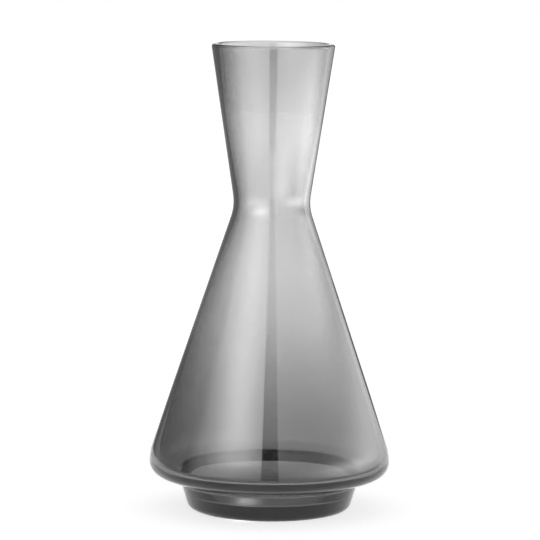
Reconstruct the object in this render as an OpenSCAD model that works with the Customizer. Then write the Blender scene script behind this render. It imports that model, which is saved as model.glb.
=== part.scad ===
// Smoke-grey glass decanter: a blown vessel that stands on a thick glass foot.
// Sizes are in millimetres. +Z is up, the foot stands on Z = 0 and the axis is at X = Y = 0.
// Both pieces are turned about the axis, so each one is drawn as half of its cross-section.

/* [Overall] */
// Height from the table to the lip
total_height = 250; // [205:1:300]
// Outside diameter at the heel, where the shoulder and the underside would meet if they weren't rounded
heel_diameter = 130.2; // [108:0.1:156]

/* [Neck] */
// Outside diameter at the lip
mouth_diameter = 66.2; // [55:0.1:80]
// Height of the neck, from the waist to the lip
neck_height = 86.6; // [70:0.1:105]
// Outside diameter at the waist, where the lines of neck and cone cross
waist_diameter = 39.8; // [33:0.1:48]
// Rounding of the waist, measured on the outside
waist_round = 25; // [10:0.5:40]
// Rounding of the lip's two edges
lip_round = 1.6; // [0.5:0.1:2]

/* [Shoulder] */
// Height of the shoulder's upper bend above the heel
shoulder_rise = 11; // [9:0.1:14]
// How far the upper bend lies inside the heel
shoulder_inset = 1; // [0:0.1:3]
// Rounding of the upper bend
shoulder_round = 33; // [15:0.5:40]
// Rounding of the heel
heel_round = 7.7; // [4:0.1:9]
// Height of the heel above the foot, which makes the underside slope
heel_rise = 6.6; // [5:0.1:9]

/* [Foot] */
// Height of the foot
foot_height = 14; // [11:0.1:17]
// Outside diameter of the foot at its top
foot_diameter = 95.2; // [79:0.1:115]
// How far the foot's side leans in from top to base
foot_taper = 4.3; // [0:0.1:6]
// Rounding of the foot's lower edge
foot_round = 4.6; // [1:0.1:6]
// Thickness of the foot under the vessel
foot_web = 5; // [4:0.1:6]
// Width of the foot's top ring, which stands around the vessel's bottom
foot_ring = 2.4; // [1.8:0.1:3]

/* [Walls] */
// Wall at the lip, measured level like the other walls
mouth_wall = 4; // [3:0.05:5]
// Wall in the middle of the neck
neck_wall = 2.25; // [1.5:0.05:3]
// Height of that place above the waist
neck_wall_rise = 41.5; // [33:0.5:50]
// Wall at the waist
waist_wall = 2.75; // [2:0.05:3.5]
// Wall of the cone's thin stretch
cone_wall = 1.85; // [1.4:0.05:2.5]
// Depth of the thin stretch below the waist
thin_drop = 33; // [25:0.5:40]
// Height of the thin stretch
thin_height = 35.5; // [28:0.5:43]
// Wall around the shoulder, where the inside runs along with the outside
shoulder_wall = 4.1; // [3:0.05:5]
// Rounding of the inside where one wall thickness runs into the next
slope_round = 300; // [100:10:400]

/* [Ledge and well] */
// Height of the ledge's outer edge above the foot
ledge_rise = 9.8; // [8:0.1:12]
// Rounding between the wall and the ledge
ledge_round = 3; // [1:0.1:5]
// How far the well opens out from its floor to its upper edge
well_flare = 8; // [6:0.1:10]
// Height of the well's upper edge above the foot
well_edge_rise = 7.4; // [5.5:0.1:8.5]
// Rounding of the well's upper edge
well_edge_round = 6; // [1:0.1:8]
// Thickness of the vessel's bottom under the well
well_bottom = 3.5; // [2.8:0.1:4.5]
// Glass between the well's floor and the foot's ring
well_side = 5.7; // [4.5:0.1:7]
// Rounding around the well's floor
well_floor_round = 2.5; // [1:0.1:5]

/* [Hidden] */
// Smoothness of the round surfaces, and the angle between two points of a rounding
$fn = 128;
arc_step = 4;
glass_grey = [0.30, 0.30, 0.30, 0.55];

// Heights of the outside, from the table up
heel_z = foot_height + heel_rise;
shoulder_z = heel_z + shoulder_rise;
waist_z = total_height - neck_height;

// Radii of the outside
mouth_r = mouth_diameter / 2;
waist_r = waist_diameter / 2;
heel_r = heel_diameter / 2;
shoulder_r = heel_r - shoulder_inset;
foot_r = foot_diameter / 2;
foot_base_r = foot_r - foot_taper;

// The seam is melted together, so both pieces use these two values and no clearance
seam_r = foot_r - foot_ring;
seam_z = foot_web;

// The ledge and the well
ledge_z = foot_height + ledge_rise;
well_floor_r = seam_r - well_side;
well_floor_z = seam_z + well_bottom;
well_edge_r = well_floor_r + well_flare;
well_edge_z = foot_height + well_edge_rise;

// Heights at which the inside changes its slope above the shoulder: one in the neck and two on the cone
neck_wall_z = waist_z + neck_wall_rise;
thin_top_z = waist_z - thin_drop;
thin_end_z = thin_top_z - thin_height;

// Outside radius of the neck, of the cone and of the shoulder at a height
function neck_radius(z) = waist_r + (mouth_r - waist_r) * (z - waist_z) / neck_height;
function cone_radius(z) = shoulder_r + (waist_r - shoulder_r) * (z - shoulder_z) / (waist_z - shoulder_z);
function shoulder_radius(z) = heel_r - shoulder_inset * (z - heel_z) / shoulder_rise;

// Corners are [radius, height, rounding]. A rounding is made smaller where its two legs are too short for it.
function place(corner) = [corner[0], corner[1]];
function toward(corners, i, k) =
    let (leg = place(corners[k]) - place(corners[i]))
    leg / norm(leg);
function half_angle(corners, i) = acos(toward(corners, i, i - 1) * toward(corners, i, i + 1)) / 2;
function is_plain(corners, i) = i == 0 || i == len(corners) - 1 || corners[i][2] == 0;
function wanted_reach(corners, i) = is_plain(corners, i) ? 0 : corners[i][2] / tan(half_angle(corners, i));
function leg_share(corners, i) =
    let (wanted = wanted_reach(corners, i) + wanted_reach(corners, i + 1))
    let (leg = norm(place(corners[i + 1]) - place(corners[i])))
    wanted > leg ? leg / wanted : 1;
function arc_points(corners, i) =
    let (back = toward(corners, i, i - 1))
    let (ahead = toward(corners, i, i + 1))
    let (half = half_angle(corners, i))
    let (reach = wanted_reach(corners, i) * min(leg_share(corners, i - 1), leg_share(corners, i)))
    let (radius = reach * tan(half))
    let (middle = place(corners[i]) + (back + ahead) / norm(back + ahead) * radius / sin(half))
    let (first = place(corners[i]) + back * reach - middle)
    let (last = place(corners[i]) + ahead * reach - middle)
    let (sweep = 180 - 2 * half)
    let (steps = max(2, ceil(sweep / arc_step)))
    [for (k = [0 : steps])
        middle + (first * sin(sweep * (1 - k / steps)) + last * sin(sweep * k / steps)) / sin(sweep)];
function rounded(corners) =
    [for (i = [0 : len(corners) - 1]) each is_plain(corners, i) ? [place(corners[i])] : arc_points(corners, i)];

module turned(corners) {
    rotate_extrude()
        polygon(rounded(corners));
}

// The parts, which the last lines draw one by one

// Blown vessel: underside, shoulder, cone and neck on the outside, then down the inside to the ledge and the well
module vessel() {
    color(glass_grey)
        turned([
            [0, seam_z, 0],
            [seam_r, seam_z, 0],
            [seam_r, foot_height, 0],
            [foot_r, foot_height, 0],
            [heel_r, heel_z, heel_round],
            [shoulder_r, shoulder_z, shoulder_round],
            [waist_r, waist_z, waist_round],
            [mouth_r, total_height, lip_round],
            [mouth_r - mouth_wall, total_height, lip_round],
            [neck_radius(neck_wall_z) - neck_wall, neck_wall_z, slope_round],
            [waist_r - waist_wall, waist_z, waist_round + waist_wall],
            [cone_radius(thin_top_z) - cone_wall, thin_top_z, slope_round],
            [cone_radius(thin_end_z) - cone_wall, thin_end_z, slope_round],
            [shoulder_r - shoulder_wall, shoulder_z, shoulder_round - shoulder_wall],
            [shoulder_radius(ledge_z) - shoulder_wall, ledge_z, ledge_round],
            [well_edge_r, well_edge_z, well_edge_round],
            [well_floor_r, well_floor_z, well_floor_round],
            [0, well_floor_z, 0]
        ]);
}

// Thick foot with a socket for the vessel's bottom
module foot() {
    color(glass_grey)
        turned([
            [0, 0, 0],
            [foot_base_r, 0, foot_round],
            [foot_r, foot_height, 0],
            [seam_r, foot_height, 0],
            [seam_r, seam_z, 0],
            [0, seam_z, 0]
        ]);
}

vessel();
foot();
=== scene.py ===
"""Looks of the smoke-grey glass decanter: glass, white ground, studio wall and the photograph's camera.

Lengths are in metres. The camera looks along +Y, so the photograph's left is -X.
"""

import heapq
import math

import bpy
from mathutils import Matrix, Vector


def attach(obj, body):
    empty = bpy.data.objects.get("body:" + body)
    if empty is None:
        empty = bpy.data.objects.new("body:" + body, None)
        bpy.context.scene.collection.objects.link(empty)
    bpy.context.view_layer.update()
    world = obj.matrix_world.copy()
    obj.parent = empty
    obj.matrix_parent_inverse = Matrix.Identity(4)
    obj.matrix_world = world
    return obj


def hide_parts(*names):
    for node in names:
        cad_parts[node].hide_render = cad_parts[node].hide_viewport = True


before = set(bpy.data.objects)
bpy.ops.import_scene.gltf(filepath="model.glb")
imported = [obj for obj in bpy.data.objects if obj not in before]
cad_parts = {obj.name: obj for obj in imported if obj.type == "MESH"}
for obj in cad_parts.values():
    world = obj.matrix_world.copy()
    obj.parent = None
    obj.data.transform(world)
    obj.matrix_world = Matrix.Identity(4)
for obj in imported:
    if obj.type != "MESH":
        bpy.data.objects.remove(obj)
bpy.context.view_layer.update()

# Fineness of the glass mesh
ROUND_STEPS = 168
LONGEST_STEP = 0.0025
LEAST_SPLIT = 2
SMOOTHING_PASSES = 2
KEPT_DIGITS = 6
SAME_POINT = 4e-6
SHARP_TURN = math.radians(20)
EASED_CORNER = 0.0005

# Waves of blown glass on the inside: their depth, and for each how often it comes round and how it twists
WAVE_DEPTH = 0.00004
WAVES = ((2, 5.0), (3, -9.0), (5, 14.0), (7, -23.0))

# Smoke-grey glass: what its bulk takes away per metre, and the tint of a surface that is met straight on
GLASS_IOR = 1.52
BULK_ABSORPTION = 110.0
WALL_GREY = 0.97

# The tint at a slant, the slants over which it comes in, and the heights over which it starts above the base
SLANT_GREY = 0.47
SLANT_BLEND = 0.5
SLANT_RANGE = (0.05, 0.70)
WALL_START = (0.022, 0.036)

# Painted shade in the tint at the bottom, darker towards the base, and the heights over which it fades; and
# the faint clouds
PAINTED_SHADE_GREY = 0.60
PAINTED_SHADE_HEIGHTS = (0.0, 0.17)
CLOUD_SCALE = 30.0
CLOUD_RANGE = (0.3, 0.7)
CLOUD_GREY = (0.985, 1.0)

# Round studio wall that only reflections see, and half a turn in degrees for its azimuths
WALL_RADIUS = 0.50
WALL_HEIGHT = 1.0
WALL_SIDES = 128
HALF_TURN = 180.0

# Dark flags on that wall, in degrees, and the share of the light that each one takes away
FLAGS = {
    "front": {"azimuth": 0.8, "half": 7.8, "edge": 0.5, "takes": 1.0},
    "left": {"azimuth": -122.0, "half": 44.0, "edge": 10.0, "takes": 0.75},
    "right": {"azimuth": 161.0, "half": 7.0, "edge": 3.0, "takes": 0.9},
}

# Soft lights on that wall, on top of the white world: azimuths and widths in degrees, heights in metres
STUDIO_LIGHTS = {
    "left_window": {"azimuth": -34, "wide": 26, "height": 0.255, "tall": 0.063, "radiance": 2.2},
    "left_haze": {"azimuth": -34, "wide": 26, "height": 0.29, "tall": 0.26, "radiance": 2.6},
    "left_low": {"azimuth": -34, "wide": 26, "height": 0.20, "tall": 0.10, "radiance": 1.2},
    "right_box": {"azimuth": 105, "wide": 38, "height": 0.31, "tall": 0.09, "radiance": 2.2},
    "right_low": {"azimuth": 87, "wide": 36, "height": 0.08, "tall": 0.08, "radiance": 5.0},
}

# Pale floor just under the foot: its size, the grey of its matte surface and its glow
FLOOR_SIZE = 12.0
FLOOR_DROP = 0.0003
FLOOR_GREY = 0.45
FLOOR_GLOW = 0.75

# Painted light: a glowing spot on the floor under the foot, standing in for the light the glass gathers there
PAINTED_CAUSTIC_LIGHT = {"middle": (-0.012, -0.025), "reach": (0.006, 0.0075), "radiance": 6.5}

# How much dimmer the white world is where it lights the floor
DIFFUSE_DIMMING = 0.3

# Camera of the photograph
SENSOR_WIDTH = 36.0
PHOTO_WIDTH = 540
FOCAL_PIXELS = 3304.5
CAMERA_DISTANCE = 1.7555
CAMERA_HEIGHT = 0.3422
AIM = Vector((-0.00063, 0.0, 0.1289))
CAMERA_ROLL = math.radians(0.567)
CLIP_END = 50.0

# Most steps of a light path, and how many of them may be reflections
LIGHT_BOUNCES = 32
GLOSSY_BOUNCES = 16


def outline(node):
    """Half of a round node's cross-section: (radius, height) of its rings, in order from its lowest disc."""
    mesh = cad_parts[node].data
    rings = [
        (round(math.hypot(v.co.x, v.co.y), KEPT_DIGITS), round(v.co.z, KEPT_DIGITS)) for v in mesh.vertices
    ]
    neighbours = {ring: set() for ring in rings}
    for edge in mesh.edges:
        first, last = (rings[k] for k in edge.vertices)
        neighbours[first].add(last)
        neighbours[last].add(first)
    bottom = min(height for _, height in rings)
    start = max(ring for ring in neighbours if ring[1] - bottom < SAME_POINT)
    reached = {}
    waiting = [(0.0, start)]
    while waiting:
        travelled, ring = heapq.heappop(waiting)
        if ring in reached:
            continue
        reached[ring] = travelled
        for other in neighbours[ring]:
            heapq.heappush(waiting, (travelled + math.dist(ring, other), other))
    return sorted(reached, key=reached.get)


def glass_profile():
    """Cross-section of the fused glass: up the outside of foot and vessel, over the lip, into the well."""
    foot = outline("foot")
    vessel = outline("vessel")
    crease = max(foot)
    crease_on_vessel = min(vessel, key=lambda ring: math.dist(ring, crease))
    outside = foot[:foot.index(crease)] + vessel[vessel.index(crease_on_vessel):]
    return [(0.0, outside[0][1])] + outside + [(0.0, outside[-1][1])]


def turn_at(before, here, after):
    """Angle by which a line turns at one of its points."""
    first = math.atan2(here[1] - before[1], here[0] - before[0])
    last = math.atan2(after[1] - here[1], after[0] - here[0])
    return abs(math.remainder(last - first, 2 * math.pi))


def short_way(here, other):
    """The point a short way from one point towards another."""
    share = EASED_CORNER / math.dist(here, other)
    return tuple(a + (b - a) * share for a, b in zip(here, other))


def refined(points):
    """The same line in short steps, with its corners eased."""
    single = [points[0]]
    for point in points[1:]:
        if math.dist(point, single[-1]) > SAME_POINT:
            single.append(point)
    kept = [single[0]]
    for before, here, after in zip(single, single[1:], single[2:]):
        if turn_at(before, here, after) > SHARP_TURN:
            kept += [short_way(here, before), here, short_way(here, after)]
        else:
            kept.append(here)
    kept.append(single[-1])
    fine = []
    for (r0, z0), (r1, z1) in zip(kept, kept[1:]):
        pieces = max(LEAST_SPLIT, math.ceil(math.dist((r0, z0), (r1, z1)) / LONGEST_STEP))
        fine += [(r0 + (r1 - r0) * k / pieces, z0 + (z1 - z0) * k / pieces) for k in range(pieces)]
    fine.append(kept[-1])
    for _ in range(SMOOTHING_PASSES):
        middle = [
            tuple((a + 2 * b + c) / 4 for a, b, c in zip(before, here, after))
            for before, here, after in zip(fine, fine[1:], fine[2:])
        ]
        fine = [fine[0]] + middle + [fine[-1]]
    return fine


def blown_wave(share, angle):
    """How far the wavy stretch stands off the round shape; share runs from 0 at its start to 1 at its end."""
    waves = sum(math.cos(turns * angle + twist * share) for turns, twist in WAVES)
    return WAVE_DEPTH * math.sin(math.pi * share) * waves


def turned(points):
    """Vertices and faces of a line turned about Z, from axis to axis, with waves past its highest point."""
    heights = [height for _, height in points]
    lip = heights.index(max(heights))
    vertices = [(0.0, 0.0, heights[0])]
    for row, (radius, height) in enumerate(points[1:-1], start=1):
        share = max(0, row - lip) / (len(points) - 1 - lip)
        for k in range(ROUND_STEPS):
            angle = 2 * math.pi * k / ROUND_STEPS
            wavy = radius + blown_wave(share, angle)
            vertices.append((wavy * math.cos(angle), wavy * math.sin(angle), height))
    vertices.append((0.0, 0.0, heights[-1]))
    last = len(vertices) - 1
    rows = len(points) - 2
    faces = []
    for k in range(ROUND_STEPS):
        after = (k + 1) % ROUND_STEPS
        faces.append((0, 1 + after, 1 + k))
        for row in range(rows - 1):
            low = 1 + row * ROUND_STEPS
            high = low + ROUND_STEPS
            faces.append((low + k, low + after, high + after, high + k))
        top = 1 + (rows - 1) * ROUND_STEPS
        faces.append((top + k, top + after, last))
    return vertices, faces


def round_wall():
    """Vertices and faces of the studio wall, an open upright cylinder."""
    angles = [2 * math.pi * k / WALL_SIDES for k in range(WALL_SIDES)]
    ring = [(WALL_RADIUS * math.cos(angle), WALL_RADIUS * math.sin(angle)) for angle in angles]
    vertices = [(x, y, z) for z in (0.0, WALL_HEIGHT) for x, y in ring]
    faces = []
    for k in range(WALL_SIDES):
        after = (k + 1) % WALL_SIDES
        faces.append((k, after, WALL_SIDES + after, WALL_SIDES + k))
    return vertices, faces


def floor_square():
    """Vertices and the face of the floor."""
    reach = FLOOR_SIZE / 2
    corners = ((-reach, -reach), (reach, -reach), (reach, reach), (-reach, reach))
    return [(x, y, -FLOOR_DROP) for x, y in corners], [(0, 1, 2, 3)]


def mesh_object(name, shape, material):
    """A new object of the scene from vertices and faces, with one material."""
    vertices, faces = shape
    mesh = bpy.data.meshes.new(name)
    mesh.from_pydata(vertices, [], faces)
    mesh.materials.append(material)
    made = bpy.data.objects.new(name, mesh)
    bpy.context.scene.collection.objects.link(made)
    return made


def feed(tree, socket, value):
    """Gives an input a number, or a link from another node's output."""
    if isinstance(value, (int, float)):
        socket.default_value = value
    else:
        tree.links.new(value, socket)


def math_node(tree, operation, *values):
    """The output of a Math node whose inputs are numbers or outputs."""
    node = tree.nodes.new("ShaderNodeMath")
    node.operation = operation
    for socket, value in zip(node.inputs, values):
        feed(tree, socket, value)
    return node.outputs[0]


def soft_spot(tree, radiance, *axes):
    """Radiance that fades from its middle like a bell; each axis is (coordinate, middle, reach)."""
    fall = 0.0
    for coordinate, middle, reach in axes:
        away = math_node(tree, "DIVIDE", math_node(tree, "SUBTRACT", coordinate, middle), reach)
        fall = math_node(tree, "SUBTRACT", fall, math_node(tree, "MULTIPLY", away, away))
    return math_node(tree, "MULTIPLY", math_node(tree, "EXPONENT", fall), radiance)


def smooth_step(tree, value, start, end, first, last):
    """A value that goes smoothly from first, at start, to last, at end."""
    node = tree.nodes.new("ShaderNodeMapRange")
    node.interpolation_type = "SMOOTHSTEP"
    tree.links.new(value, node.inputs["Value"])
    for name, number in zip(("From Min", "From Max", "To Min", "To Max"), (start, end, first, last)):
        node.inputs[name].default_value = number
    return node.outputs["Result"]


def place_on(tree):
    """The X, Y and Z of the point that is shaded."""
    split = tree.nodes.new("ShaderNodeSeparateXYZ")
    tree.links.new(tree.nodes.new("ShaderNodeNewGeometry").outputs["Position"], split.inputs["Vector"])
    return split.outputs["X"], split.outputs["Y"], split.outputs["Z"]


def light_path(tree):
    """The outputs that tell which kind of ray sees a surface."""
    return tree.nodes.new("ShaderNodeLightPath").outputs


def emission(tree, strength):
    """A white glow of some strength."""
    node = tree.nodes.new("ShaderNodeEmission")
    feed(tree, node.inputs["Strength"], strength)
    return node.outputs["Emission"]


def added(tree, first, second):
    """The sum of two shaders."""
    node = tree.nodes.new("ShaderNodeAddShader")
    tree.links.new(first, node.inputs[0])
    tree.links.new(second, node.inputs[1])
    return node.outputs["Shader"]


def new_tree(name):
    """A new material and its node tree with nothing but its output."""
    material = bpy.data.materials.new(name)
    material.use_nodes = True
    tree = material.node_tree
    tree.nodes.remove(tree.nodes["Principled BSDF"])
    return material, tree


def surface_grey(tree):
    """Tint of the glass's surface, which is darker at a slant, darker low down by painted shade, and has
    faint clouds.
    """
    slant = tree.nodes.new("ShaderNodeLayerWeight")
    slant.inputs["Blend"].default_value = SLANT_BLEND
    darker = smooth_step(tree, slant.outputs["Facing"], *SLANT_RANGE, 0.0, WALL_GREY - SLANT_GREY)
    _, _, height = place_on(tree)
    in_wall = smooth_step(tree, height, *WALL_START, 0.0, 1.0)
    grey = math_node(tree, "SUBTRACT", WALL_GREY, math_node(tree, "MULTIPLY", darker, in_wall))
    # Painted shade: the tint grows darker towards the base
    low = smooth_step(tree, height, *PAINTED_SHADE_HEIGHTS, 1.0 - PAINTED_SHADE_GREY, 0.0)
    grey = math_node(tree, "MULTIPLY", grey, math_node(tree, "SUBTRACT", 1.0, low))
    clouds = tree.nodes.new("ShaderNodeTexNoise")
    clouds.inputs["Scale"].default_value = CLOUD_SCALE
    tree.links.new(tree.nodes.new("ShaderNodeTexCoord").outputs["Object"], clouds.inputs["Vector"])
    cloudy = smooth_step(tree, clouds.outputs["Fac"], *CLOUD_RANGE, *CLOUD_GREY)
    return math_node(tree, "MULTIPLY", grey, cloudy)


def smoke_glass():
    """Clear fire-polished glass that is grey through its bulk and tinted at its surface, with painted shade
    low down.
    """
    material = bpy.data.materials.new("smoke_glass")
    material.use_nodes = True
    tree = material.node_tree
    shader = tree.nodes["Principled BSDF"]
    tree.links.new(surface_grey(tree), shader.inputs["Base Color"])
    shader.inputs["Roughness"].default_value = 0.0
    shader.inputs["IOR"].default_value = GLASS_IOR
    shader.inputs["Transmission Weight"].default_value = 1.0
    absorb = tree.nodes.new("ShaderNodeVolumeAbsorption")
    absorb.inputs["Color"].default_value = (0.0, 0.0, 0.0, 1.0)
    absorb.inputs["Density"].default_value = BULK_ABSORPTION
    tree.links.new(absorb.outputs["Volume"], tree.nodes["Material Output"].inputs["Volume"])
    return material


def azimuth_of(tree, x, y):
    """Azimuth in degrees, which is 0 at the camera and 90 on the right."""
    return math_node(tree, "DEGREES", math_node(tree, "ARCTAN2", x, math_node(tree, "MULTIPLY", y, -1.0)))


def turn_from(tree, azimuth, middle):
    """How far an azimuth lies from another one, within half a turn either way."""
    return math_node(tree, "WRAP", math_node(tree, "SUBTRACT", azimuth, middle), HALF_TURN, -HALF_TURN)


def flagged(tree, azimuth):
    """The share of light that the dark flags take away at a point of the studio wall."""
    total = 0.0
    for flag in FLAGS.values():
        away = math_node(tree, "ABSOLUTE", turn_from(tree, azimuth, flag["azimuth"]))
        edges = (flag["half"] - flag["edge"], flag["half"] + flag["edge"])
        total = math_node(tree, "MAXIMUM", total, smooth_step(tree, away, *edges, flag["takes"], 0.0))
    return total


def wall_light(tree, azimuth, height):
    """Radiance that the soft lights add at a point of the studio wall."""
    total = 0.0
    for light in STUDIO_LIGHTS.values():
        across = (turn_from(tree, azimuth, light["azimuth"]), 0.0, light["wide"])
        upward = (height, light["height"], light["tall"])
        total = math_node(tree, "ADD", total, soft_spot(tree, light["radiance"], across, upward))
    return total


def wall_material():
    """Clear, but light that the glass has reflected meets the soft lights and the dark flags."""
    material, tree = new_tree("studio_wall")
    x, y, height = place_on(tree)
    azimuth = azimuth_of(tree, x, y)
    reflected = math_node(tree, "MINIMUM", light_path(tree)["Glossy Depth"], 1.0)
    glow = emission(tree, math_node(tree, "MULTIPLY", reflected, wall_light(tree, azimuth, height)))
    lit = added(tree, tree.nodes.new("ShaderNodeBsdfTransparent").outputs["BSDF"], glow)
    mix = tree.nodes.new("ShaderNodeMixShader")
    tree.links.new(math_node(tree, "MULTIPLY", reflected, flagged(tree, azimuth)), mix.inputs["Fac"])
    tree.links.new(lit, mix.inputs[1])
    tree.links.new(emission(tree, 0.0), mix.inputs[2])
    tree.links.new(mix.outputs["Shader"], tree.nodes["Material Output"].inputs["Surface"])
    return material


def seen_share(tree):
    """1 for rays from the camera and rays that glass reflects or lets through, which all show the set."""
    rays = light_path(tree)
    by_glass = math_node(tree, "MAXIMUM", rays["Is Glossy Ray"], rays["Is Transmission Ray"])
    return math_node(tree, "MAXIMUM", rays["Is Camera Ray"], by_glass)


def floor_material():
    """White for the camera and in the glass alike, but for the object's shadow and a painted pool of light
    under the foot.
    """
    material, tree = new_tree("pale_floor")
    matte = tree.nodes.new("ShaderNodeBsdfDiffuse")
    matte.inputs["Color"].default_value = (FLOOR_GREY, FLOOR_GREY, FLOOR_GREY, 1.0)
    x, y, _ = place_on(tree)
    axes = zip((x, y), PAINTED_CAUSTIC_LIGHT["middle"], PAINTED_CAUSTIC_LIGHT["reach"])
    # The painted pool of light under the foot glows on top of the white floor
    glow = math_node(tree, "ADD", soft_spot(tree, PAINTED_CAUSTIC_LIGHT["radiance"], *axes), FLOOR_GLOW)
    white = emission(tree, math_node(tree, "MULTIPLY", glow, seen_share(tree)))
    both = added(tree, matte.outputs["BSDF"], white)
    tree.links.new(both, tree.nodes["Material Output"].inputs["Surface"])
    return material


# Glass of vessel and foot, fused
glass = mesh_object("decanter_glass", turned(refined(glass_profile())), smoke_glass())
glass.data.polygons.foreach_set("use_smooth", [True] * len(glass.data.polygons))
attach(glass, "root")
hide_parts("vessel", "foot")

# Studio wall and floor
wall = mesh_object("studio_wall", round_wall(), wall_material())
floor = mesh_object("floor", floor_square(), floor_material())

# World: white, and dimmer where it lights the floor
scene = bpy.context.scene
scene.world = bpy.data.worlds.new("white_ground")
scene.world.use_nodes = True
world_tree = scene.world.node_tree
dimming = math_node(world_tree, "MULTIPLY", light_path(world_tree)["Is Diffuse Ray"], DIFFUSE_DIMMING)
background = world_tree.nodes["Background"]
background.inputs["Color"].default_value = (1, 1, 1, 1)
world_tree.links.new(math_node(world_tree, "SUBTRACT", 1.0, dimming), background.inputs["Strength"])

# Camera
lens = bpy.data.cameras.new("photo_camera")
lens.sensor_width = SENSOR_WIDTH
lens.lens = FOCAL_PIXELS / PHOTO_WIDTH * SENSOR_WIDTH
lens.clip_end = CLIP_END
camera = bpy.data.objects.new("photo_camera", lens)
stand = Vector((0, -CAMERA_DISTANCE, CAMERA_HEIGHT))
look = (AIM - stand).to_track_quat("-Z", "Y").to_matrix().to_4x4()
camera.matrix_world = Matrix.Translation(stand) @ look @ Matrix.Rotation(CAMERA_ROLL, 4, "Z")
scene.collection.objects.link(camera)
scene.camera = camera

# Picture
scene.view_settings.view_transform = "Standard"
scene.cycles.max_bounces = LIGHT_BOUNCES
scene.cycles.transmission_bounces = LIGHT_BOUNCES
scene.cycles.glossy_bounces = GLOSSY_BOUNCES
scene.cycles.transparent_max_bounces = LIGHT_BOUNCES
